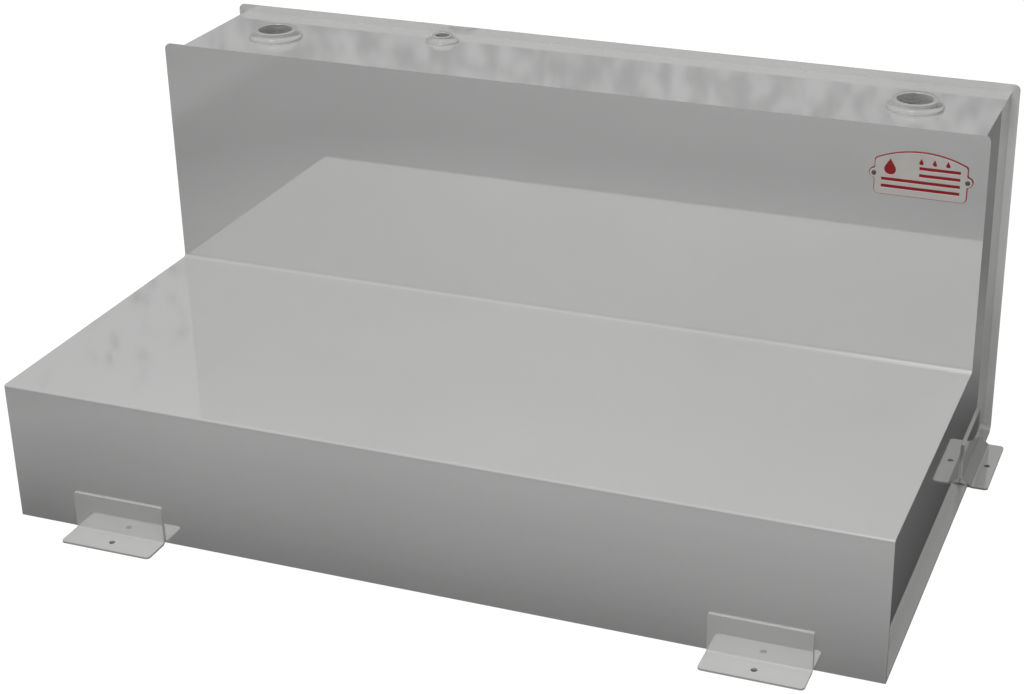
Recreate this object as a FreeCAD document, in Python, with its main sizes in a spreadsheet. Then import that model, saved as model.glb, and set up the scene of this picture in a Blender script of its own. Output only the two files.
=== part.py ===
import FreeCAD, Part
import Sketcher
import math
import os

# Truck bed transfer tank: an L-shaped box folded and welded from flat aluminium
# sheet, with a low deck in front and a high riser behind it. All in millimetres.
# X runs along the tank, Y from the front face to the back wall, Z up. The origin
# is the middle of the tank's outline, on the floor that its feet stand on.

SIZES = {
    # The shell
    "length": 1371.6,
    "depth": 787.4,
    "riser_depth": 254.0,
    "wall_height": 606.4,
    "deck_height": 225.4,
    "skin": 3.175,
    "end_lip": 12.7,
    "top_lip": 12.7,
    "lip_corner": 9.5,
    "front_bend": 0.8,
    "riser_bend": 6.0,
    "back_bend": 10.3,
    "corner_ease": 0.5,
    # The baffles
    "baffle_skin": 3.175,
    "baffle_flange": 25.4,
    "baffle_bend": 3.175,
    "baffle_notch": 28.0,
    "baffle_gap": 0.5,
    "flow_hole": 101.6,
    "flow_pitch": 230.0,
    # The fill and pickup fittings
    "bung_bore": 56.4,
    "bung_rim": 73.0,
    "bung_base": 89.5,
    "bung_rise": 14.5,
    "bung_flange": 4.2,
    "bung_spigot": 69.0,
    "bung_neck_round": 6.8,
    "bung_edge_round": 1.3,
    "bung_setback": 129.0,
    "fill_inset": 136.8,
    "pickup_inset": 139.8,
    # The vent fitting
    "vent_bore": 23.4,
    "vent_rim": 35.0,
    "vent_base": 56.0,
    "vent_rise": 11.0,
    "vent_flange": 3.6,
    "vent_spigot": 32.0,
    "vent_neck_round": 7.0,
    "vent_edge_round": 1.8,
    "vent_inset": 410.8,
    "vent_from_back": 50.4,
    # What all three fittings share
    "spigot_drop": 3.0,
    "spigot_gap": 0.25,
    "mouth_bevel": 0.8,
    # The mounting brackets
    "bracket_length": 152.4,
    "bracket_skin": 3.175,
    "leg_corner": 2.5,
    "foot_corner": 6.35,
    "bolt_hole": 9.5,
    "front_leg": 63.5,
    "front_foot": 49.0,
    "front_bolt_setback": 27.0,
    "bracket_bend": 3.175,
    "front_bracket_inset": 101.6,
    # The end brackets' slant, which runs over the bottom's lip
    "end_leg": 76.2,
    "end_foot": 44.45,
    "end_bolt_setback": 30.0,
    "slant_rise": 15.0,
    "slant_reach": 19.0,
    "slant_bend": 2.0,
    "notch_gap": 0.5,
    # The badge
    "badge_width": 140.6,
    "badge_height": 72.0,
    "arch_rise": 16.0,
    "badge_corner": 8.0,
    "shoulder_round": 5.0,
    "ear_radius": 8.0,
    "ear_round": 3.0,
    "badge_margin": 1.4,
    "backing_skin": 3.2,
    "badge_skin": 2.0,
    "badge_inset": 98.8,
    "badge_drop": 71.4,
    "mark_inset": 11.0,
    "bar_height": 5.5,
    "bar_pitch": 11.0,
    "short_bar": 62.0,
    "drop_radius": 9.0,
    "drop_tip": 17.0,
    "drop_inset": 24.0,
    "drop_level": 5.0,
    "small_drop_radius": 3.4,
    "small_drop_tip": 7.5,
    "small_drop_level": 19.5,
    "small_drop_pitch": 20.0,
    "pin_shank": 4.0,
    "pin_gap": 0.1,
    "pin_head": 7.5,
    "pin_head_rise": 1.8,
    "pin_head_round": 1.4,
    "pin_drop": 3.0,
}

# Places that several pieces share, as expressions on the sheet's cells
FRONT = "(-(Sizes.depth - Sizes.front_foot) / 2)"
BACK = "((Sizes.depth + Sizes.front_foot) / 2)"
RISER = f"({BACK} - Sizes.riser_depth)"
RISER_MIDDLE = f"({BACK} - Sizes.riser_depth / 2)"
BOTTOM = "Sizes.bracket_skin"
DECK = f"({BOTTOM} + Sizes.deck_height)"
WALL_TOP = f"({BOTTOM} + Sizes.wall_height)"
PLATE_TOP = f"({WALL_TOP} - Sizes.top_lip)"
END_FACE = "(Sizes.length / 2 - Sizes.end_lip)"

# The end brackets' slant, on its upper face and on its underside
SLANT_RUN = "(Sizes.slant_reach - Sizes.bracket_skin)"
SLANT_FALL = "(Sizes.slant_rise - Sizes.bracket_skin)"
SLANT_LENGTH = f"sqrt({SLANT_RUN} * {SLANT_RUN} + {SLANT_FALL} * {SLANT_FALL})"
SLANT_BACK = f"(Sizes.slant_rise - Sizes.bracket_skin * ({SLANT_LENGTH} - {SLANT_FALL}) / {SLANT_RUN})"
SLANT_TOE = f"(Sizes.slant_reach - Sizes.bracket_skin * ({SLANT_LENGTH} - {SLANT_RUN}) / {SLANT_FALL})"

# The faces of the shell that look into the tank
INNER_FRONT = f"({FRONT} + Sizes.skin)"
INNER_RISER = f"({RISER} + Sizes.skin)"
INNER_BACK = f"({BACK} - Sizes.skin)"
INNER_BOTTOM = f"({BOTTOM} + Sizes.skin)"
INNER_DECK = f"({DECK} - Sizes.skin)"
INNER_TOP = f"({PLATE_TOP} - Sizes.skin)"

# The centres of the fittings and of the badge
FILL_PLACE = "(Sizes.fill_inset - Sizes.length / 2)"
PICKUP_PLACE = "(Sizes.length / 2 - Sizes.pickup_inset)"
VENT_PLACE = "(Sizes.vent_inset - Sizes.length / 2)"
BUNG_LINE = f"({RISER} + Sizes.bung_setback)"
VENT_LINE = f"({BACK} - Sizes.vent_from_back)"
BADGE_MIDDLE = "(Sizes.length / 2 - Sizes.badge_inset)"
BADGE_LEVEL = f"({WALL_TOP} - Sizes.badge_drop)"
PIN_SPAN = "(Sizes.badge_width / 2)"
ARCH_RADIUS = "((Sizes.badge_width ^ 2 / 4 + Sizes.arch_rise ^ 2) / (2 * Sizes.arch_rise))"

# How far apart two coordinates may be and still be the same place
NEAR = 0.001

doc = FreeCAD.newDocument("transfer_tank")
sizes = doc.addObject("Spreadsheet::Sheet", "Sizes")
pieces = []


def fill_sheet():
    for row, (alias, size) in enumerate(SIZES.items(), start=1):
        sizes.set(f"A{row}", alias)
        sizes.set(f"B{row}", str(size))
        sizes.setAlias(f"B{row}", alias)
    doc.recompute()


def value(expression):
    """What an expression on the sheet comes to now."""
    return float(sizes.evalExpression(expression.replace("Sizes.", "")))


def new_body(name):
    body = doc.addObject("PartDesign::Body", name)
    body.Label = name
    pieces.append(body)
    return body


def new_sketch(body, name, role, offset=None):
    """A sketch on one of the body's origin planes, or lifted off it by an expression."""
    plane = next(item for item in body.Origin.OriginFeatures if item.Role == role)
    sketch = body.newObject("Sketcher::SketchObject", f"{body.Label}_{name}")
    sketch.AttachmentSupport = (plane, [""])
    sketch.MapMode = "FlatFace"
    if offset is not None:
        sketch.setExpression("AttachmentOffset.Base.z", offset)
    return sketch


def hold(sketch, geometry, point, across, up):
    """Tie a point of the sketch to its origin by one expression each way."""
    for direction, expression in (("DistanceX", across), ("DistanceY", up)):
        distance = Sketcher.Constraint(direction, -1, 1, geometry, point, value(expression))
        number = sketch.addConstraint(distance)
        sketch.setExpression(f"Constraints[{number}]", expression)


def outline(sketch, corners):
    """A closed outline of straight lines between corners, each a pair of expressions."""
    points = [FreeCAD.Vector(value(across), value(up), 0) for across, up in corners]
    first = sketch.GeometryCount
    for start, end in zip(points, points[1:] + points[:1]):
        sketch.addGeometry(Part.LineSegment(start, end), False)
    for number, (across, up) in enumerate(corners):
        line = first + number
        following = first + (number + 1) % len(corners)
        sketch.addConstraint(Sketcher.Constraint("Coincident", line, 2, following, 1))
        hold(sketch, line, 1, across, up)


def rectangle(sketch, left, right, low, high):
    outline(sketch, [(left, low), (right, low), (right, high), (left, high)])


def circle(sketch, across, up, diameter):
    centre = FreeCAD.Vector(value(across), value(up), 0)
    ring = Part.Circle(centre, FreeCAD.Vector(0, 0, 1), value(diameter) / 2)
    number = sketch.addGeometry(ring, False)
    hold(sketch, number, 3, across, up)
    size = sketch.addConstraint(Sketcher.Constraint("Diameter", number, value(diameter)))
    sketch.setExpression(f"Constraints[{size}]", diameter)


def droplet(sketch, across, up, radius, tip):
    """A drop: a round belly about a point, and two straight sides that meet at its tip."""
    centre = FreeCAD.Vector(value(across), value(up), 0)
    point = centre + FreeCAD.Vector(0, value(tip), 0)
    lean = math.acos(value(radius) / value(tip))
    ring = Part.Circle(centre, FreeCAD.Vector(0, 0, 1), value(radius))
    belly = Part.ArcOfCircle(ring, math.pi / 2 + lean, 5 * math.pi / 2 - lean)
    arc = sketch.addGeometry(belly, False)
    right = sketch.addGeometry(Part.LineSegment(belly.EndPoint, point), False)
    left = sketch.addGeometry(Part.LineSegment(point, belly.StartPoint), False)
    sketch.addConstraint(Sketcher.Constraint("Tangent", arc, 2, right, 1))
    sketch.addConstraint(Sketcher.Constraint("Tangent", left, 2, arc, 1))
    sketch.addConstraint(Sketcher.Constraint("Coincident", right, 2, left, 1))
    hold(sketch, arc, 3, across, up)
    hold(sketch, left, 1, across, f"{up} + {tip}")
    size = sketch.addConstraint(Sketcher.Constraint("Radius", arc, value(radius)))
    sketch.setExpression(f"Constraints[{size}]", radius)


def pad(body, name, sketch, thickness, side="One side", backwards=False):
    feature = body.newObject("PartDesign::Pad", f"{body.Label}_{name}")
    feature.Profile = sketch
    feature.setExpression("Length", thickness)
    feature.SideType = side
    feature.Reversed = backwards
    doc.recompute()


def turn(body, name, sketch):
    feature = body.newObject("PartDesign::Revolution", f"{body.Label}_{name}")
    feature.Profile = sketch
    feature.ReferenceAxis = (sketch, ["V_Axis"])
    feature.Angle = 360
    doc.recompute()
    return feature


def cut_through(body, name, sketch):
    """Cut a sketch through everything on both sides of it, and check that it cuts."""
    before = body.Shape.Volume
    feature = body.newObject("PartDesign::Pocket", f"{body.Label}_{name}")
    feature.Profile = sketch
    feature.Type = "ThroughAll"
    feature.SideType = "Symmetric"
    doc.recompute()
    if body.Shape.Volume >= before:
        raise RuntimeError(f"{body.Label}: {name} cuts nothing")


def edges_at(body, x=None, y=None, z=None):
    """Names of the body's edges that keep to the given coordinates from end to end."""
    found = []
    for number, edge in enumerate(body.Shape.Edges, start=1):
        box = edge.BoundBox
        spans = ((x, box.XMin, box.XMax), (y, box.YMin, box.YMax), (z, box.ZMin, box.ZMax))
        if all(
            place is None or max(abs(low - place), abs(high - place)) < NEAR
            for place, low, high in spans
        ):
            found.append(f"Edge{number}")
    return found


def rings_at(body, z, radius):
    """Names of the body's level circles about its own upright axis."""
    return [
        edge for edge in edges_at(body, z=z)
        if abs(body.Shape.getElement(edge).BoundBox.XMax - radius) < NEAR
    ]


def rounded(body, name, edges, radius):
    if not edges:
        raise RuntimeError(f"{body.Label}: no edges for {name}")
    carrier = body.Tip
    feature = body.newObject("PartDesign::Fillet", f"{body.Label}_{name}")
    feature.Base = (carrier, edges)
    feature.setExpression("Radius", radius)
    doc.recompute()
    return feature


def round_lip_corners(body):
    """The two upper corners of the wall that stands past the top plate."""
    half = value("Sizes.length / 2")
    top = value(WALL_TOP)
    corners = edges_at(body, x=-half, z=top) + edges_at(body, x=half, z=top)
    rounded(body, "lip_corners", corners, "Sizes.lip_corner")


def make_front_sheet():
    """Riser front panel, deck and front face, folded from one sheet."""
    body = new_body("front_sheet")
    section = new_sketch(body, "section", "YZ_Plane")
    outline(section, [
        (FRONT, BOTTOM),
        (INNER_FRONT, BOTTOM),
        (INNER_FRONT, INNER_DECK),
        (INNER_RISER, INNER_DECK),
        (INNER_RISER, WALL_TOP),
        (RISER, WALL_TOP),
        (RISER, DECK),
        (FRONT, DECK),
    ])
    pad(body, "run", section, "Sizes.length", side="Symmetric")
    folds = {
        "front_fold_outside": (FRONT, DECK, "Sizes.front_bend + Sizes.skin"),
        "front_fold_inside": (INNER_FRONT, INNER_DECK, "Sizes.front_bend"),
        "riser_fold_outside": (RISER, DECK, "Sizes.riser_bend"),
        "riser_fold_inside": (INNER_RISER, INNER_DECK, "Sizes.riser_bend + Sizes.skin"),
    }
    for name, (across, up, radius) in folds.items():
        rounded(body, name, edges_at(body, y=value(across), z=value(up)), radius)
    round_lip_corners(body)


def make_back_sheet():
    """Bottom and back wall, folded from one sheet, its lip notched under the end brackets."""
    body = new_body("back_sheet")
    section = new_sketch(body, "section", "YZ_Plane")
    outline(section, [
        (INNER_FRONT, BOTTOM),
        (BACK, BOTTOM),
        (BACK, WALL_TOP),
        (INNER_BACK, WALL_TOP),
        (INNER_BACK, INNER_BOTTOM),
        (INNER_FRONT, INNER_BOTTOM),
    ])
    pad(body, "run", section, "Sizes.length", side="Symmetric")
    folds = {
        "fold_outside": (BACK, BOTTOM, "Sizes.back_bend + Sizes.skin"),
        "fold_inside": (INNER_BACK, INNER_BOTTOM, "Sizes.back_bend"),
    }
    for name, (across, up, radius) in folds.items():
        rounded(body, name, edges_at(body, y=value(across), z=value(up)), radius)
    round_lip_corners(body)
    notches = new_sketch(body, "notch_outline", "XY_Plane")
    kept = f"(({SLANT_BACK} - {INNER_BOTTOM}) * {SLANT_RUN} / {SLANT_FALL} - Sizes.notch_gap)"
    near = f"({END_FACE} + {kept})"
    far = "(Sizes.length / 2 + Sizes.end_lip)"
    reach = "(Sizes.bracket_length / 2 + Sizes.notch_gap)"
    front = f"{RISER_MIDDLE} - {reach}"
    back = f"{RISER_MIDDLE} + {reach}"
    rectangle(notches, near, far, front, back)
    rectangle(notches, f"-{far}", f"-{near}", front, back)
    cut_through(body, "notches", notches)


def make_top_plate():
    """Flat plate between the riser's front panel and the back wall, bored for the fittings."""
    body = new_body("top_plate")
    plan = new_sketch(body, "outline", "XY_Plane", INNER_TOP)
    rectangle(plan, f"-{END_FACE}", END_FACE, INNER_RISER, INNER_BACK)
    circle(plan, FILL_PLACE, BUNG_LINE, "Sizes.bung_spigot + 2 * Sizes.spigot_gap")
    circle(plan, PICKUP_PLACE, BUNG_LINE, "Sizes.bung_spigot + 2 * Sizes.spigot_gap")
    circle(plan, VENT_PLACE, VENT_LINE, "Sizes.vent_spigot + 2 * Sizes.spigot_gap")
    pad(body, "thickness", plan, "Sizes.skin")


def make_end_plate(name, side):
    """L-shaped plate under the top plate. side is -1 at the left end and 1 at the right."""
    body = new_body(name)
    plan = new_sketch(body, "outline", "YZ_Plane", f"{side} * {END_FACE}")
    outline(plan, [
        (INNER_FRONT, INNER_BOTTOM),
        (INNER_BACK, INNER_BOTTOM),
        (INNER_BACK, INNER_TOP),
        (INNER_RISER, INNER_TOP),
        (INNER_RISER, INNER_DECK),
        (INNER_FRONT, INNER_DECK),
    ])
    pad(body, "thickness", plan, "Sizes.skin", backwards=side > 0)
    corners = {
        "front_corner": (INNER_FRONT, INNER_DECK, "Sizes.front_bend + Sizes.corner_ease"),
        "back_corner": (INNER_BACK, INNER_BOTTOM, "Sizes.back_bend + Sizes.corner_ease"),
        "riser_corner": (INNER_RISER, INNER_DECK, "Sizes.riser_bend + Sizes.skin - Sizes.corner_ease"),
    }
    for corner, (across, up, radius) in corners.items():
        rounded(body, corner, edges_at(body, y=value(across), z=value(up)), radius)


def make_baffle(name, place):
    """Flanged L-shaped baffle: its web's left face is at place, and its flanges point right."""
    body = new_body(name)
    thick = "Sizes.baffle_skin"
    notch = "Sizes.baffle_notch"
    front = f"({INNER_FRONT} + Sizes.baffle_gap)"
    riser = f"({INNER_RISER} + Sizes.baffle_gap)"
    back = f"({INNER_BACK} - Sizes.baffle_gap)"
    low = INNER_BOTTOM
    deck = f"({INNER_DECK} - Sizes.baffle_gap)"
    top = f"({INNER_TOP} - Sizes.baffle_gap)"
    corners = [(front, low), (back, low), (back, top), (riser, top), (riser, deck), (front, deck)]

    web = new_sketch(body, "web_outline", "YZ_Plane", place)
    outline(web, corners)
    pad(body, "web", web, thick)
    flanges = new_sketch(body, "flange_outline", "YZ_Plane", f"{place} + {thick}")
    rectangle(flanges, f"{front} + {notch}", f"{back} - {notch}", low, f"{low} + {thick}")
    rectangle(flanges, f"{back} - {thick}", back, f"{low} + {notch}", f"{top} - {notch}")
    rectangle(flanges, riser, f"{riser} + {thick}", f"{deck} + {notch}", f"{top} - {notch}")
    rectangle(flanges, f"{front} + {notch}", f"{riser} - {notch}", f"{deck} - {thick}", deck)
    rectangle(flanges, front, f"{front} + {thick}", f"{low} + {notch}", f"{deck} - {notch}")
    pad(body, "flanges", flanges, f"Sizes.baffle_flange - {thick}")

    notches = new_sketch(body, "notch_outline", "YZ_Plane", place)
    for across, up in corners:
        rectangle(notches, f"{across} - {notch}", f"{across} + {notch}",
                  f"{up} - {notch}", f"{up} + {notch}")
    cut_through(body, "notches", notches)

    def fold_edges(x, inset):
        edges = []
        for across, inward in ((front, 1), (riser, 1), (back, -1)):
            edges += edges_at(body, x=value(x), y=value(across) + inward * inset)
        for up, inward in ((low, 1), (deck, -1)):
            edges += edges_at(body, x=value(x), z=value(up) + inward * inset)
        return edges

    rounded(body, "folds_outside", fold_edges(place, 0), f"Sizes.baffle_bend + {thick}")
    rounded(body, "folds_inside", fold_edges(f"{place} + {thick}", value(thick)), "Sizes.baffle_bend")

    holes = new_sketch(body, "hole_outline", "YZ_Plane", place)
    low_row = f"({low} + {deck}) / 2"
    for step in range(3):
        circle(holes, f"{RISER_MIDDLE} - {step} * Sizes.flow_pitch", low_row, "Sizes.flow_hole")
    circle(holes, RISER_MIDDLE, f"({deck} + {top}) / 2", "Sizes.flow_hole")
    cut_through(body, "flow_holes", holes)


def make_bung(name, family, across, along):
    """Turned weld-in fitting: base flange, waisted neck, rim, spigot and tapped bore."""
    body = new_body(name)
    bore = f"Sizes.{family}_bore / 2"
    rim = f"Sizes.{family}_rim / 2"
    base = f"Sizes.{family}_base / 2"
    spigot = f"Sizes.{family}_spigot / 2"
    mouth = f"Sizes.{family}_rise"
    flange = f"Sizes.{family}_flange"
    foot = "-(Sizes.skin + Sizes.spigot_drop)"
    section = new_sketch(body, "section", "XZ_Plane")
    outline(section, [
        (bore, foot),
        (spigot, foot),
        (spigot, "0"),
        (base, "0"),
        (base, flange),
        (rim, flange),
        (rim, mouth),
        (f"{bore} + Sizes.mouth_bevel", mouth),
        (bore, f"{mouth} - Sizes.mouth_bevel"),
    ])
    turn(body, "turning", section)
    level = value(flange)
    rounded(body, "neck_round", rings_at(body, level, value(rim)), f"Sizes.{family}_neck_round")
    rounded(body, "edge_round", rings_at(body, level, value(base)), f"Sizes.{family}_edge_round")
    body.setExpression("Placement.Base.x", across)
    body.setExpression("Placement.Base.y", along)
    body.setExpression("Placement.Base.z", PLATE_TOP)


def make_bracket(name, across, along, heading, leg, foot, setback, folds):
    """Bent bracket with one bolt hole: its leg's back is its own Y = 0, and its foot runs to -Y.

    Each fold is a pair of corners, inside and outside the bend, and the bend's inside radius.
    """
    body = new_body(name)
    skin = "Sizes.bracket_skin"
    inside = [corner for corner, _, _ in folds]
    outside = [corner for _, corner, _ in folds]
    section = new_sketch(body, "section", "YZ_Plane")
    outline(section, [
        ("0", leg),
        (f"-{skin}", leg),
        *inside,
        (f"-{foot}", skin),
        (f"-{foot}", "0"),
        *reversed(outside),
    ])
    pad(body, "run", section, "Sizes.bracket_length", side="Symmetric")
    for number, (inner, outer, radius) in enumerate(folds, start=1):
        for face, (out, up), size in (("inside", inner, radius), ("outside", outer, f"{radius} + {skin}")):
            rounded(body, f"fold_{number}_{face}", edges_at(body, y=value(out), z=value(up)), size)
    for role, radius, place in (
        ("leg_corners", "Sizes.leg_corner", {"z": value(leg)}),
        ("foot_corners", "Sizes.foot_corner", {"y": -value(foot)}),
    ):
        corners = []
        for end in (value("-Sizes.bracket_length / 2"), value("Sizes.bracket_length / 2")):
            corners += edges_at(body, x=end, **place)
        rounded(body, role, corners, radius)
    hole = new_sketch(body, "hole_outline", "XY_Plane")
    circle(hole, "0", f"-{setback}", "Sizes.bolt_hole")
    cut_through(body, "bolt_hole", hole)
    body.Placement = FreeCAD.Placement(FreeCAD.Vector(), FreeCAD.Rotation(heading, 0, 0))
    body.setExpression("Placement.Base.x", across)
    body.setExpression("Placement.Base.y", along)


def make_front_bracket(name, across):
    """Plain angle on the front face."""
    skin = "Sizes.bracket_skin"
    folds = [((f"-{skin}", skin), ("0", "0"), "Sizes.bracket_bend")]
    make_bracket(name, across, FRONT, 0, "Sizes.front_leg", "Sizes.front_foot",
                 "Sizes.front_bolt_setback", folds)


def make_end_bracket(name, across, heading):
    """Bracket on an end plate: under its leg a slant runs over the bottom's lip to the foot."""
    skin = "Sizes.bracket_skin"
    folds = [
        ((f"-{skin}", "Sizes.slant_rise"), ("0", SLANT_BACK), "Sizes.slant_bend"),
        (("-Sizes.slant_reach", skin), (f"-{SLANT_TOE}", "0"), "Sizes.slant_bend"),
    ]
    make_bracket(name, across, RISER_MIDDLE, heading, "Sizes.end_leg", "Sizes.end_foot",
                 "Sizes.end_bolt_setback", folds)


def arched_outline(sketch, half_width, low, crown, radius):
    """Three straight sides under an arch. Returns the level at which the arch meets the sides."""
    shoulder = f"({crown} - {radius} + sqrt({radius} * {radius} - {half_width} * {half_width}))"
    left = f"-{half_width}"
    corners = [(left, shoulder), (left, low), (half_width, low), (half_width, shoulder)]
    points = [FreeCAD.Vector(value(across), value(up), 0) for across, up in corners]
    for number, (start, end) in enumerate(zip(points, points[1:])):
        line = sketch.addGeometry(Part.LineSegment(start, end), False)
        hold(sketch, line, 1, *corners[number])
        if number:
            sketch.addConstraint(Sketcher.Constraint("Coincident", line - 1, 2, line, 1))
    hold(sketch, line, 2, *corners[3])
    centre = FreeCAD.Vector(0, value(crown) - value(radius), 0)
    ring = Part.Circle(centre, FreeCAD.Vector(0, 0, 1), value(radius))
    lean = math.asin(value(half_width) / value(radius))
    arch = sketch.addGeometry(Part.ArcOfCircle(ring, math.pi / 2 - lean, math.pi / 2 + lean), False)
    sketch.addConstraint(Sketcher.Constraint("Coincident", arch, 1, line, 2))
    sketch.addConstraint(Sketcher.Constraint("Coincident", arch, 2, 0, 1))
    size = sketch.addConstraint(Sketcher.Constraint("Radius", arch, value(radius)))
    sketch.setExpression(f"Constraints[{size}]", radius)
    return shoulder


def make_badge_plate(name, offset, margin, skin):
    """An arched plate on the riser's panel, with a round ear at each side for its pin."""
    body = new_body(name)
    half_width = f"(Sizes.badge_width / 2 - {margin})"
    low = f"({margin} - Sizes.badge_height / 2)"
    ear = f"(Sizes.ear_radius - {margin})"
    pin_level = "-Sizes.pin_drop"
    plan = new_sketch(body, "outline", "XZ_Plane", offset)
    shoulder = arched_outline(plan, half_width, low, f"(Sizes.badge_height / 2 - {margin})",
                              f"({ARCH_RADIUS} - {margin})")
    pad(body, "thickness", plan, skin)
    ears = new_sketch(body, "ear_outline", "XZ_Plane", offset)
    for side in ("-", ""):
        circle(ears, f"{side}{PIN_SPAN}", pin_level, f"2 * {ear}")
    pad(body, "ears", ears, skin)
    joint = f"sqrt({ear} * {ear} - {margin} * {margin})"
    for role, levels, radius in (
        ("corners", [low], f"Sizes.badge_corner - {margin}"),
        ("shoulders", [shoulder], "Sizes.shoulder_round"),
        ("ear_rounds", [f"{pin_level} - {joint}", f"{pin_level} + {joint}"], "Sizes.ear_round"),
    ):
        corners = []
        for side in (-1, 1):
            for level in levels:
                corners += edges_at(body, x=side * value(half_width), z=value(level))
        rounded(body, role, corners, radius)
    holes = new_sketch(body, "pin_hole_outline", "XZ_Plane", offset)
    for side in ("-", ""):
        circle(holes, f"{side}{PIN_SPAN}", pin_level, "Sizes.pin_shank + 2 * Sizes.pin_gap")
    cut_through(body, "pin_holes", holes)
    set_on_riser(body, BADGE_MIDDLE, BADGE_LEVEL)
    return body


def cut_marks(body):
    """A big drop, level bars beside and below it, and small drops in a row under the arch."""
    marks = new_sketch(body, "mark_outline", "XZ_Plane", "Sizes.backing_skin")
    far = "(Sizes.badge_width / 2 - Sizes.mark_inset)"
    for step in range(-2, 2):
        middle = f"{step} * Sizes.bar_pitch"
        near = f"({far} - Sizes.short_bar)" if step >= 0 else f"-{far}"
        rectangle(marks, near, far, f"{middle} - Sizes.bar_height / 2", f"{middle} + Sizes.bar_height / 2")
    droplet(marks, "(Sizes.drop_inset - Sizes.badge_width / 2)", "Sizes.drop_level",
            "Sizes.drop_radius", "Sizes.drop_tip")
    for step in range(3):
        droplet(marks, f"{step} * Sizes.small_drop_pitch", "Sizes.small_drop_level",
                "Sizes.small_drop_radius", "Sizes.small_drop_tip")
    cut_through(body, "marks", marks)


def set_on_riser(body, across, level):
    body.setExpression("Placement.Base.x", across)
    body.setExpression("Placement.Base.y", RISER)
    body.setExpression("Placement.Base.z", level)


def make_badge():
    make_badge_plate("badge_backing", "0", "0", "Sizes.backing_skin")
    face = make_badge_plate("badge_face", "Sizes.backing_skin", "Sizes.badge_margin", "Sizes.badge_skin")
    cut_marks(face)


def make_badge_pins():
    """Two turned pins through the badge, as one group."""
    body = new_body("badge_pins")
    body.AllowCompound = True
    shank = "Sizes.pin_shank / 2"
    head = "Sizes.pin_head / 2"
    seat = "-(Sizes.backing_skin + Sizes.badge_skin)"
    crown = f"{seat} - Sizes.pin_head_rise"
    section = new_sketch(body, "section", "XY_Plane")
    outline(section, [
        ("0", "0"),
        (shank, "0"),
        (shank, seat),
        (head, seat),
        (head, crown),
        ("0", crown),
    ])
    pin = turn(body, "turning", section)
    dome = rounded(body, "head_round", edges_at(body, y=value(crown)), "Sizes.pin_head_round")
    row = body.newObject("PartDesign::LinearPattern", "badge_pins_row")
    row.Originals = [pin, dome]
    row.Direction = (next(item for item in body.Origin.OriginFeatures if item.Role == "X_Axis"), [""])
    row.setExpression("Length", f"2 * {PIN_SPAN}")
    row.Occurrences = 2
    body.Tip = row
    set_on_riser(body, f"{BADGE_MIDDLE} - {PIN_SPAN}", f"{BADGE_LEVEL} - Sizes.pin_drop")


def build():
    fill_sheet()
    make_front_sheet()
    make_back_sheet()
    make_top_plate()
    make_end_plate("left_end_plate", -1)
    make_end_plate("right_end_plate", 1)
    for step, name in enumerate(("left_baffle", "middle_baffle", "right_baffle"), start=-1):
        make_baffle(name, f"({step} * Sizes.length / 4 - Sizes.baffle_skin / 2)")
    make_bung("fill_bung", "bung", FILL_PLACE, BUNG_LINE)
    make_bung("pickup_bung", "bung", PICKUP_PLACE, BUNG_LINE)
    make_bung("vent_bung", "vent", VENT_PLACE, VENT_LINE)
    front_bracket = "(Sizes.length / 2 - Sizes.front_bracket_inset - Sizes.bracket_length / 2)"
    make_front_bracket("front_left_bracket", f"-{front_bracket}")
    make_front_bracket("front_right_bracket", front_bracket)
    make_end_bracket("left_end_bracket", f"-{END_FACE}", -90)
    make_end_bracket("right_end_bracket", END_FACE, 90)
    make_badge()
    make_badge_pins()
    doc.recompute()


def write_parts():
    for item in doc.Objects:
        if "Invalid" in item.State or "Error" in item.State:
            raise RuntimeError(f"{item.Label} failed: {item.State}")
    os.makedirs("parts", exist_ok=True)
    for piece in pieces:
        shape = piece.Shape
        if shape.isNull() or not shape.isValid():
            raise RuntimeError(f"{piece.Label} has no valid shape")
        shape.exportStep(f"parts/{piece.Label}.step")
        print(piece.Label, len(shape.Solids), "solids", round(shape.Volume), "mm3")


build()
write_parts()
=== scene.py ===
import math

import bmesh
import bpy
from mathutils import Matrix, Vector


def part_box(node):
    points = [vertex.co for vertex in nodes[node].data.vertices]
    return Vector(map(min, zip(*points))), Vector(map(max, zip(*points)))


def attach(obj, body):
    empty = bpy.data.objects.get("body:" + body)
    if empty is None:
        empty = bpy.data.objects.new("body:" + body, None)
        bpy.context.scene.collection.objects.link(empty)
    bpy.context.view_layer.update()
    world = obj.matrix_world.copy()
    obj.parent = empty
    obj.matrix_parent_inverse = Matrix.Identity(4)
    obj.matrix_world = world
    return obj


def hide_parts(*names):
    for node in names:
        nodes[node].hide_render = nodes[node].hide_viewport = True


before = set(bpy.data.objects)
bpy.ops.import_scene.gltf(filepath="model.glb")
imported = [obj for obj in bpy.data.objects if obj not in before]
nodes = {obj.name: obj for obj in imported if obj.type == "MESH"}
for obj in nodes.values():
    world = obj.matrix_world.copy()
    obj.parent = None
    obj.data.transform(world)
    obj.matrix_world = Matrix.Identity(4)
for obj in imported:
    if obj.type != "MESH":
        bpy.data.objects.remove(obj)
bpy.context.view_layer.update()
print("frame loaded:", len(nodes), "nodes")


# small helpers for node trees: what is fed to a socket is a value or another node's output

def feed(tree, socket, given):
    if isinstance(given, bpy.types.NodeSocket):
        tree.links.new(given, socket)
    else:
        socket.default_value = given


def addNode(tree, kind, settings=None, **inputs):
    node = tree.nodes.new(kind)
    for name, setting in (settings or {}).items():
        setattr(node, name, setting)
    for name, given in inputs.items():
        feed(tree, node.inputs[name.replace("_", " ")], given)
    return node


def addMath(tree, operation, *inputs):
    node = addNode(tree, "ShaderNodeMath", {"operation": operation})
    for socket, given in zip(node.inputs, inputs):
        feed(tree, socket, given)
    return node.outputs["Value"]


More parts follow.
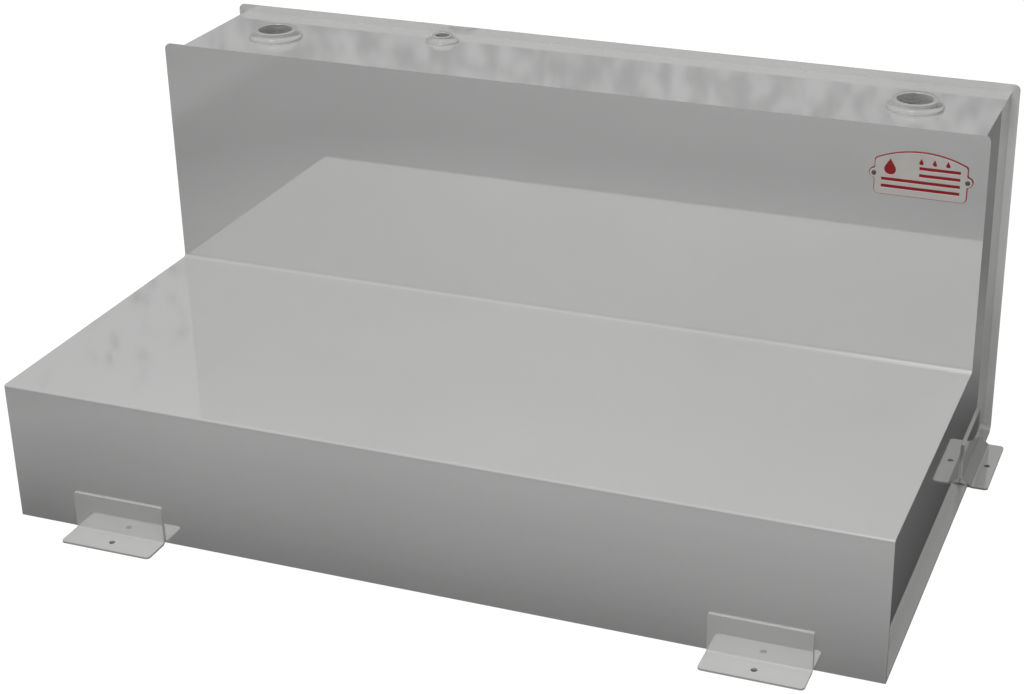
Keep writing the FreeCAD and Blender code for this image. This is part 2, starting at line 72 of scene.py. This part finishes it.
def addVectorMath(tree, operation, *inputs):
    node = addNode(tree, "ShaderNodeVectorMath", {"operation": operation})
    for socket, given in zip(node.inputs, inputs):
        feed(tree, socket, given)
    return node.outputs["Value" if operation in ("LENGTH", "DOT_PRODUCT") else "Vector"]


def addNoise(tree, point, scale, detail, roughness):
    node = addNode(tree, "ShaderNodeTexNoise", Vector=point, Scale=scale, Detail=detail,
                   Roughness=roughness)
    return node.outputs["Fac"]


def addRange(tree, value, start, end, low=0.0, high=1.0, kind="LINEAR"):
    node = addNode(tree, "ShaderNodeMapRange", {"interpolation_type": kind}, Value=value,
                   From_Min=start, From_Max=end, To_Min=low, To_Max=high)
    return node.outputs["Result"]


def addRamp(tree, value, stops):
    ramp = addNode(tree, "ShaderNodeValToRGB", Fac=value)
    points = ramp.color_ramp.elements
    while len(points) < len(stops):
        points.new(0.5)
    for point, (position, colour) in zip(points, stops):
        point.position = position
        point.color = colour
    return ramp.outputs["Color"]


def mixColours(tree, share, first, second):
    node = addNode(tree, "ShaderNodeMix", {"data_type": "RGBA"})
    for socket, given in zip((node.inputs[0], node.inputs[6], node.inputs[7]), (share, first, second)):
        feed(tree, socket, given)
    return node.outputs[2]


def mixShaders(tree, share, first, second):
    node = addNode(tree, "ShaderNodeMixShader")
    for socket, given in zip(node.inputs, (share, first, second)):
        feed(tree, socket, given)
    return node.outputs["Shader"]


def grey(tone):
    return (tone, tone, tone, 1.0)


def greys(stops):
    return [(position, grey(tone)) for position, tone in stops]


# small helpers for meshes and materials

def makeMesh(name, bm):
    mesh = bpy.data.meshes.new(name)
    bm.to_mesh(mesh)
    bm.free()
    piece = bpy.data.objects.new(name, mesh)
    bpy.context.scene.collection.objects.link(piece)
    return piece


def shadeByAngle(bm, limit):
    for face in bm.faces:
        face.smooth = True
    for edge in bm.edges:
        edge.smooth = len(edge.link_faces) == 2 and edge.calc_face_angle(0.0) < limit


def startMaterial(name):
    material = bpy.data.materials.new(name)
    material.use_nodes = True
    material.node_tree.nodes.clear()
    return material


def paint(piece, material):
    piece.data.materials.clear()
    piece.data.materials.append(material)


# metals

def makeMetal(name, look):
    material = startMaterial(name)
    tree = material.node_tree
    place = addNode(tree, "ShaderNodeTexCoord").outputs["Object"]

    # broad clouds of tone
    clouds = addNoise(tree, place, *look["clouds"])
    tones = ((*look["darkTone"], 1.0), (*look["lightTone"], 1.0))
    tone = addRamp(tree, clouds, tuple(zip(look["toneSpan"], tones)))

    # fine grain, in the gloss and as a faint relief
    drawn = addNode(tree, "ShaderNodeMapping", Vector=place, Scale=look["stretch"])
    grain = addNoise(tree, drawn.outputs["Vector"], *look["grain"])
    gloss = addRange(tree, grain, *look["glossSpan"], *look["roughness"])
    bump = addNode(tree, "ShaderNodeBump", Strength=look["bumpStrength"], Distance=look["bumpDepth"],
                   Height=grain)

    shader = addNode(tree, "ShaderNodeBsdfPrincipled", Base_Color=tone, Metallic=look["metallic"],
                     Roughness=gloss, IOR=look["ior"], Specular_IOR_Level=look["specular"],
                     Normal=bump.outputs["Normal"])
    surface = shader.outputs["BSDF"]
    if "lipStart" in look:
        surface = addPaintedLipLight(tree, look, place, surface)
    addNode(tree, "ShaderNodeOutputMaterial", Surface=surface)
    return material


def addPaintedLipLight(tree, look, place, sheet):
    # past the end plates the sheet's inner face is painted: the low lip darker, the back lip paler and
    # duller, most up the back; painted shade and painted light
    where = addNode(tree, "ShaderNodeSeparateXYZ", Vector=place).outputs
    past = addRange(tree, addMath(tree, "ABSOLUTE", where["X"]), *look["lipStart"], kind="SMOOTHSTEP")
    inner = addMath(tree, "LESS_THAN", where["Y"], look["innerFace"])
    paintedLipShare = addMath(tree, "MULTIPLY", past, inner)
    lips = []
    for metallic, tone, roughness in (look["lowLip"], look["backLip"]):
        dull = addNode(tree, "ShaderNodeBsdfPrincipled", Base_Color=(*tone, 1.0), Metallic=metallic,
                       Roughness=roughness, IOR=look["ior"])
        lips.append(dull.outputs["BSDF"])
    upright = addRamp(tree, where["Z"], greys(look["lipHeights"]))
    return mixShaders(tree, paintedLipShare, sheet, mixShaders(tree, upright, *lips))


metalLook = {
    "ior": 1.5,
    "specular": 0.5,
    "toneSpan": (0.35, 0.65),    # the clouds' values at which the two tones are reached
    "glossSpan": (0.3, 0.7),     # the grain's values at which the two roughnesses are reached
}

shellLook = dict(
    metalLook,
    metallic=0.62,
    clouds=(2.2, 3.0, 0.5),      # scale, detail and roughness of the noise
    grain=(40.0, 4.0, 0.6),
    stretch=(1.0, 12.0, 12.0),   # the grain is drawn out along the tank
    darkTone=(0.765, 0.765, 0.76),
    lightTone=(0.79, 0.79, 0.785),
    roughness=(0.02, 0.045),
    bumpStrength=0.015,
    bumpDepth=0.0002,
)
sheetMetal = makeMetal("bright_sheet", shellLook)

backLook = dict(
    shellLook,
    lipStart=(0.64, 0.675),      # how far out from the tank's middle the lips begin
    innerFace=0.417,             # the back wall's outer face lies behind this
    # by height, how much of the back lip's paler finish there is in place of the low lip's: painted light,
    # less near the top, where the lamp already lights it
    lipHeights=((0.006, 0.0), (0.02, 0.45), (0.2, 0.7), (0.3, 1.0), (0.5, 1.0), (0.6, 0.3)),
    lowLip=(0.6, (0.68, 0.68, 0.67), 0.2),    # metallic, tone and roughness
    backLip=(0.08, (0.93, 0.93, 0.92), 0.3),
)
backMetal = makeMetal("bright_sheet_lipped", backLook)

# the end plates get a darker copy of the sheet's tone, painted shade; their low specular weakens their
# reflection at grazing angles
endLook = dict(shellLook, metallic=0.72, specular=0.1, darkTone=(0.7, 0.7, 0.69),
               lightTone=(0.73, 0.73, 0.72))
endMetal = makeMetal("end_sheet", endLook)

baffleLook = dict(shellLook, metallic=0.6, darkTone=(0.66, 0.66, 0.65), lightTone=(0.72, 0.72, 0.71),
                  roughness=(0.2, 0.3))
baffleMetal = makeMetal("plain_sheet", baffleLook)

bracketLook = dict(shellLook, metallic=0.42, specular=0.3, darkTone=(0.73, 0.73, 0.72),
                   lightTone=(0.76, 0.76, 0.75), roughness=(0.05, 0.1))
bracketMetal = makeMetal("bracket_sheet", bracketLook)

# the end brackets get a darker copy of the brackets' tone: painted shade
endBracketLook = dict(bracketLook, metallic=0.6, darkTone=(0.68, 0.68, 0.67),
                      lightTone=(0.72, 0.72, 0.71))
endBracketMetal = makeMetal("end_bracket_sheet", endBracketLook)

fittingLook = dict(
    metalLook,
    metallic=0.72,
    clouds=(30.0, 3.0, 0.5),
    grain=(900.0, 4.0, 0.6),
    stretch=(1.0, 1.0, 1.0),
    darkTone=(0.72, 0.72, 0.71),
    lightTone=(0.78, 0.78, 0.77),
    roughness=(0.08, 0.2),
    bumpStrength=0.25,
    bumpDepth=0.0003,
)
fittingMetal = makeMetal("turned_metal", fittingLook)

# the bore is darker than the fitting's outside: painted shade inside the bore
boreLook = dict(fittingLook, metallic=0.75, darkTone=(0.62, 0.62, 0.61), lightTone=(0.74, 0.74, 0.73),
                roughness=(0.12, 0.22))
boreMetal = makeMetal("threaded_bore", boreLook)

weldMetalLook = dict(fittingLook, metallic=0.6, darkTone=(0.5, 0.5, 0.49), lightTone=(0.58, 0.58, 0.57),
                     roughness=(0.25, 0.4))
weldMetal = makeMetal("weld_bead", weldMetalLook)

badgeLook = dict(fittingLook, metallic=0.4, darkTone=(0.66, 0.63, 0.6), lightTone=(0.69, 0.66, 0.63),
                 grain=(120.0, 4.0, 0.6), stretch=(1.0, 20.0, 20.0), roughness=(0.2, 0.26),
                 bumpStrength=0.01, bumpDepth=0.0001)
badgeMetal = makeMetal("brushed_badge", badgeLook)

enamelLook = dict(fittingLook, metallic=0.0, darkTone=(0.26, 0.010, 0.014), lightTone=(0.30, 0.012, 0.016),
                  roughness=(0.1, 0.16))
redEnamel = makeMetal("red_enamel", enamelLook)

pinLook = dict(fittingLook, metallic=0.5, darkTone=(0.12, 0.11, 0.11), lightTone=(0.16, 0.15, 0.15),
               roughness=(0.35, 0.45))
pinMetal = makeMetal("dark_pin", pinLook)

finishes = {
    "front_sheet": sheetMetal,
    "back_sheet": backMetal,
    "top_plate": sheetMetal,
    "left_end_plate": endMetal,
    "right_end_plate": endMetal,
    "left_baffle": baffleMetal,
    "middle_baffle": baffleMetal,
    "right_baffle": baffleMetal,
    "fill_bung": fittingMetal,
    "pickup_bung": fittingMetal,
    "vent_bung": fittingMetal,
    "front_left_bracket": bracketMetal,
    "front_right_bracket": bracketMetal,
    "left_end_bracket": endBracketMetal,
    "right_end_bracket": endBracketMetal,
    "badge_backing": redEnamel,
    "badge_face": badgeMetal,
    "badge_pins": pinMetal,
}
for name, material in finishes.items():
    paint(nodes[name], material)
for name in ("badge_backing", "badge_face", "badge_pins"):
    # the sheets around the badge neither mirror it nor take a shadow from it
    nodes[name].visible_glossy = False
    nodes[name].visible_shadow = False
    nodes[name].visible_diffuse = False
print("finishes given to", len(finishes), "nodes")


# weld-in fittings, turned as in the CAD, with their threads cut in the bore (lengths are in metres)

bungLook = {
    "bore": 0.0282,
    "rim": 0.0365,
    "base": 0.04475,
    "spigot": 0.0345,
    "low": -0.006175,         # heights are from the top plate's upper face
    "mouth": 0.0145,
    "flange": 0.0042,
    "neckRound": 0.0068,
    "neckSteps": 14,
    "edgeRound": 0.0013,
    "edgeSteps": 8,
    "rimEase": 0.0004,
    "rimSteps": 3,
    "mouthBevel": 0.0008,
    "pitch": 0.002209,
    "threadDepth": 0.0013,
    "threadFade": 0.001,      # the length in which the thread runs out at each end
    "spareTurns": 3,          # so that the helix runs past both ends, where it is cut level
    "rowsPerTurn": 6,
    "around": 144,
    "mergeGap": 0.000002,
    "leastEdge": 0.000001,
    "shadeLimit": 0.55,       # radians, past which an edge is shaded sharp
}
ventLook = dict(bungLook, bore=0.0117, rim=0.0175, base=0.028, spigot=0.016, mouth=0.011, flange=0.0036,
                neckRound=0.007, edgeRound=0.0018, pitch=0.001814, threadDepth=0.0011, around=96)


def arcPoints(centre, radius, start, end, count):
    points = []
    for step in range(count + 1):
        angle = math.radians(start + (end - start) * step / count)
        points.append((centre[0] + radius * math.cos(angle), centre[1] + radius * math.sin(angle)))
    return points


def bungProfile(look):
    # radius and height of each point, from the bore's lower end round the outside to its mouth
    shoulder = (look["base"] - look["edgeRound"], look["flange"] - look["edgeRound"])
    neck = (look["rim"] + look["neckRound"], look["flange"] + look["neckRound"])
    rimEdge = (look["rim"] - look["rimEase"], look["mouth"] - look["rimEase"])
    return [
        (look["bore"], look["low"]),
        (look["spigot"], look["low"]),
        (look["spigot"], 0.0),
        (look["base"], 0.0),
        *arcPoints(shoulder, look["edgeRound"], 0, 90, look["edgeSteps"]),
        *arcPoints(neck, look["neckRound"], 270, 180, look["neckSteps"]),
        *arcPoints(rimEdge, look["rimEase"], 0, 90, look["rimSteps"]),
        (look["bore"] + look["mouthBevel"], look["mouth"]),
        (look["bore"], look["mouth"] - look["mouthBevel"]),
    ]


def addThread(bm, look):
    # rows follow the helix, so that each crest and each root is one line of edges
    low = look["low"]
    top = look["mouth"] - look["mouthBevel"]
    rowsPerTurn = look["rowsPerTurn"]
    around = look["around"]
    turns = int((look["mouth"] - low) / look["pitch"]) + look["spareTurns"]
    rows = []
    for row in range(-rowsPerTurn, turns * rowsPerTurn + 1):
        depth = abs((row / rowsPerTurn) % 1.0 - 0.5) * 2
        ring = []
        for step in range(around):
            angle = 2 * math.pi * step / around
            level = low + (row / rowsPerTurn + step / around) * look["pitch"]
            inside = low < level < top
            level = min(max(level, low), top)
            fade = min((level - low) / look["threadFade"], (top - level) / look["threadFade"], 1.0)
            radius = look["bore"] + (look["threadDepth"] * depth * fade if inside else 0.0)
            ring.append(bm.verts.new((radius * math.cos(angle), radius * math.sin(angle), level)))
        rows.append(ring)
    for row in range(len(rows) - rowsPerTurn - 1):
        for step in range(around):
            last = step == around - 1
            after = row + rowsPerTurn if last else row
            beside = 0 if last else step + 1
            corners = (rows[row][step], rows[after][beside], rows[after + 1][beside], rows[row + 1][step])
            bm.faces.new(corners).material_index = 1  # the bore's metal


def makeFitting(node, look):
    bm = bmesh.new()
    points = [bm.verts.new((radius, 0, level)) for radius, level in bungProfile(look)]
    edges = [bm.edges.new(pair) for pair in zip(points, points[1:])]
    bmesh.ops.spin(bm, geom=points + edges, cent=(0, 0, 0), axis=(0, 0, 1), angle=2 * math.pi,
                   steps=look["around"], use_merge=True)
    addThread(bm, look)
    bmesh.ops.remove_doubles(bm, verts=bm.verts, dist=look["mergeGap"])
    bmesh.ops.dissolve_degenerate(bm, edges=bm.edges, dist=look["leastEdge"])
    loose = [vert for vert in bm.verts if not vert.link_faces]
    bmesh.ops.delete(bm, geom=loose, context="VERTS")
    bmesh.ops.recalc_face_normals(bm, faces=bm.faces)
    shadeByAngle(bm, look["shadeLimit"])
    low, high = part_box(node)
    seat = ((low[0] + high[0]) / 2, (low[1] + high[1]) / 2, high[2] - look["mouth"])
    bmesh.ops.translate(bm, vec=seat, verts=bm.verts)
    fitting = makeMesh(f"{node}_threaded", bm)
    fitting.data.materials.append(fittingMetal)
    fitting.data.materials.append(boreMetal)
    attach(fitting, "root")
    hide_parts(node)
    print(node, "threaded:", len(fitting.data.polygons), "faces")


for node, look in {"fill_bung": bungLook, "pickup_bung": bungLook, "vent_bung": ventLook}.items():
    makeFitting(node, look)


# welds that close the ends of each end bracket's slant onto the lip

weldLook = {
    "plate": 0.6731,          # the end plate's outer face, from the tank's middle
    "lipTop": 0.00635,        # the upper face of the bottom's lip
    "underSlant": ((0.0, 0.0145), (0.003, 0.0142), (0.0124, 0.0072)),  # out from the plate, and height
    "lipReach": 0.0126,
    "toe": 0.0046,            # how far the weld runs out along the lip, past the slant's end
    "toeReach": 0.0125,
    "toeRise": 0.0024,
    "round": 0.0007,
    "roundSteps": 3,
    "flatAngle": 0.02,
    "shadeLimit": 1.0,
}


def makeWeld(name, look, bracket, side):
    low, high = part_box(bracket)
    lipTop = look["lipTop"]
    underSlant = look["underSlant"] + ((look["lipReach"], lipTop), (0.0, lipTop))
    toe = ((0.0, lipTop + look["toeRise"]), (look["toeReach"], lipTop))
    bm = bmesh.new()
    for end, outward in ((low[1], -1), (high[1], 1)):
        ring = []
        for outline, along in ((underSlant, end), (toe, end + outward * look["toe"])):
            for out, level in outline:
                ring.append(bm.verts.new((side * (look["plate"] + out), along, level)))
        bmesh.ops.convex_hull(bm, input=ring)
    bmesh.ops.dissolve_limit(bm, angle_limit=look["flatAngle"], verts=bm.verts, edges=bm.edges)
    bmesh.ops.bevel(bm, geom=bm.edges, offset=look["round"], segments=look["roundSteps"], affect="EDGES",
                    profile=0.5, material=-1)
    bmesh.ops.recalc_face_normals(bm, faces=bm.faces)
    shadeByAngle(bm, look["shadeLimit"])
    weld = makeMesh(name, bm)
    paint(weld, weldMetal)
    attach(weld, "root")


makeWeld("left_end_bracket_welds", weldLook, "left_end_bracket", -1)
makeWeld("right_end_bracket_welds", weldLook, "right_end_bracket", 1)
print("bracket welds laid")


# floor, surroundings and lamps

floorLook = {
    "halfSize": 25.0,
    "tankHalf": (0.69, 0.40, 1.0),      # half size of the box that the distances are taken from
    "reach": 2.0,             # the distance at which the tones below end
    # the floor's greys by share of the reach: painted shadow next to the tank, then a painted pool of
    # light
    "tones": ((0.0, 0.14), (0.07, 0.28), (0.16, 0.39), (0.24, 0.335), (0.38, 0.26), (0.6, 0.315)),
    "leftEdge": (-1.4, -1.5),      # the ground turns paler between these lines on the left
    "leftTone": 0.42,
    "white": 1.2,
    "whiteShare": 0.85,       # how much of the camera's floor is plain white
    "feet": (                 # centre and half size of the ground under the right feet, which stays grey
        ((0.508, -0.3937, 0.0), (0.0742, 0.0225, 1.0)),
        ((0.6953, 0.2912, 0.0), (0.0202, 0.0742, 1.0)),
    ),
    "footGap": 0.0005,        # how far round them it stays so
}


def distanceFromBox(tree, point, centre, half):
    fromCentre = addVectorMath(tree, "SUBTRACT", point, centre)
    pastFaces = addVectorMath(tree, "SUBTRACT", addVectorMath(tree, "ABSOLUTE", fromCentre), half)
    return addVectorMath(tree, "LENGTH", addVectorMath(tree, "MAXIMUM", pastFaces, (0.0, 0.0, 0.0)))


def makeFloor(look):
    bm = bmesh.new()
    bmesh.ops.create_grid(bm, x_segments=1, y_segments=1, size=look["halfSize"])
    floor = makeMesh("floor", bm)
    material = startMaterial("pale_floor")
    tree = material.node_tree
    place = addNode(tree, "ShaderNodeTexCoord").outputs["Object"]
    where = addNode(tree, "ShaderNodeSeparateXYZ", Vector=place).outputs

    # what the light and the metal meet: greys by the distance from the tank, a painted shadow close to it,
    # a painted pool of light a little further out, and darker again beyond
    fromTank = distanceFromBox(tree, place, (0.0, 0.0, 0.0), look["tankHalf"])
    tone = addRamp(tree, addMath(tree, "DIVIDE", fromTank, look["reach"]), greys(look["tones"]))
    leftShare = addRange(tree, where["X"], *look["leftEdge"])
    tone = mixColours(tree, leftShare, tone, grey(look["leftTone"]))
    plain = addNode(tree, "ShaderNodeBsdfDiffuse", Color=tone)

    # what the camera meets: nearly white, apart from the ground under the feet, left and right alike
    white = addNode(tree, "ShaderNodeEmission", Color=grey(1.0), Strength=look["white"])
    shown = addNode(tree, "ShaderNodeLightPath").outputs["Is Camera Ray"]
    outward = addMath(tree, "ABSOLUTE", where["X"])
    eitherSide = addNode(tree, "ShaderNodeCombineXYZ", X=outward, Y=where["Y"])
    for centre, half in look["feet"]:
        fromFoot = distanceFromBox(tree, eitherSide.outputs["Vector"], centre, half)
        clear = addMath(tree, "GREATER_THAN", fromFoot, look["footGap"])
        shown = addMath(tree, "MULTIPLY", clear, shown)
    whitening = addMath(tree, "MULTIPLY", shown, look["whiteShare"])
    surface = mixShaders(tree, whitening, plain.outputs["BSDF"], white.outputs["Emission"])
    addNode(tree, "ShaderNodeOutputMaterial", Surface=surface)
    paint(floor, material)


makeFloor(floorLook)
print("floor laid")

skyLook = {
    "camera": 1.0,
    "light": 0.22,
    "patches": (95.0, 5.0, 0.6),   # the mottling low over the horizon: scale, detail and roughness
    "patchStops": ((0.41, 0.24), (0.5, 0.332), (0.59, 0.43)),
    "darkening": (0.1, 0.28),      # sines of the heights between which the patches darken downwards
    "darkShare": 0.45,
    "darkLean": -0.35,        # how much higher the dark part stands to the right
    "openSky": 0.47,
    "skyStart": 0.285,        # sine of the height at which the patches end
    "skyLean": -0.12,         # higher behind the tank, lower in front of it
    "skyBlend": 0.02,
    "edge": (80.0, 5.0, 0.65),     # the noise that lifts and lowers the sky's edge
    "raggedness": 0.36,       # how much higher the edge may be at one place than at another
    "glow": 1.35,             # a bright spot overhead, which only the folds and rims catch
    "glowAim": (-0.1, -0.35, 0.93),
    "glowEdge": (0.991, 0.997),
}


def makeSurroundings(look):
    world = bpy.data.worlds.new("studio")
    bpy.context.scene.world = world
    world.use_nodes = True
    tree = world.node_tree
    tree.nodes.clear()
    rays = addNode(tree, "ShaderNodeLightPath").outputs
    aim = addNode(tree, "ShaderNodeTexCoord").outputs["Generated"]
    where = addNode(tree, "ShaderNodeSeparateXYZ", Vector=aim).outputs

    # patches low over the horizon
    patchTone = addRamp(tree, addNoise(tree, aim, *look["patches"]), greys(look["patchStops"]))
    leaning = addMath(tree, "MULTIPLY_ADD", where["X"], look["darkLean"], where["Z"])
    lightShare = addRange(tree, leaning, *look["darkening"], low=look["darkShare"])
    lowTone = addNode(tree, "ShaderNodeVectorMath", {"operation": "SCALE"}, Vector=patchTone,
                      Scale=lightShare)

    # the open sky, with the bright spot overhead
    toGlow = addVectorMath(tree, "DOT_PRODUCT", aim, Vector(look["glowAim"]).normalized())
    glowShare = addRange(tree, toGlow, *look["glowEdge"], kind="SMOOTHSTEP")
    skyTone = mixColours(tree, glowShare, grey(look["openSky"]), grey(look["glow"]))

    # the ragged edge between the two
    height = addMath(tree, "MULTIPLY_ADD", where["Y"], look["skyLean"], where["Z"])
    ragged = addMath(tree, "MULTIPLY_ADD", addNoise(tree, aim, *look["edge"]), look["raggedness"], height)
    middle = look["skyStart"] + look["raggedness"] / 2
    skyShare = addRange(tree, ragged, middle - look["skyBlend"], middle + look["skyBlend"],
                        kind="SMOOTHSTEP")
    mirroredTone = mixColours(tree, skyShare, lowTone.outputs["Vector"], skyTone)

    # metal shows all this, plain light comes from one grey, and the camera meets white
    mirrored = addMath(tree, "MAXIMUM", rays["Is Glossy Ray"], rays["Is Transmission Ray"])
    tone = mixColours(tree, mirrored, grey(look["light"]), mirroredTone)
    tone = mixColours(tree, rays["Is Camera Ray"], tone, grey(look["camera"]))
    background = addNode(tree, "ShaderNodeBackground", Color=tone)
    addNode(tree, "ShaderNodeOutputWorld", Surface=background.outputs["Background"])


makeSurroundings(skyLook)
print("surroundings made")

lampLook = {
    "over": {"place": (-0.1, -0.8, 3.2), "aim": (0.0, 0.0, 0.3), "size": (2.4, 1.6), "power": 68.0},
    "front": {"place": (1.25, -4.0, 1.3), "aim": (0.1, 0.0, 0.3), "size": (1.6, 1.2), "power": 36.5},
    "behind": {"place": (1.5, 2.4, 2.6), "aim": (0.9, 1.5, 0.0), "size": (0.8, 0.8), "power": 8.0},
}


def makeLamp(name, look):
    light = bpy.data.lights.new(name, "AREA")
    light.shape = "RECTANGLE"
    light.size, light.size_y = look["size"]
    light.energy = look["power"]
    lamp = bpy.data.objects.new(name, light)
    lamp.location = look["place"]
    towards = Vector(look["aim"]) - Vector(look["place"])
    lamp.rotation_euler = towards.to_track_quat("-Z", "Y").to_euler()
    lamp.visible_glossy = False  # the metal mirrors the surroundings, not the lamps
    bpy.context.scene.collection.objects.link(lamp)


for name, look in lampLook.items():
    makeLamp(f"lamp_{name}", look)
print("lamps hung:", len(lampLook))


# camera

cameraLook = {
    "place": (1.1207, -2.6765, 1.609675),
    "down": 0.445918,         # radians below level
    "turn": 0.341977,         # radians to the left of straight ahead
    "lens": 72.12,
    "sensor": 36.0,
    "shift": (-0.1031, 0.0064),
    "clip": (0.05, 100.0),
}


def makeCamera(look):
    data = bpy.data.cameras.new("camera")
    data.lens = look["lens"]
    data.sensor_width = look["sensor"]
    data.shift_x, data.shift_y = look["shift"]
    data.clip_start, data.clip_end = look["clip"]
    camera = bpy.data.objects.new("camera", data)
    camera.location = look["place"]
    camera.rotation_euler = (math.pi / 2 - look["down"], 0.0, look["turn"])
    bpy.context.scene.collection.objects.link(camera)
    bpy.context.scene.camera = camera


makeCamera(cameraLook)
bpy.context.scene.view_settings.view_transform = "Standard"
print("camera set")
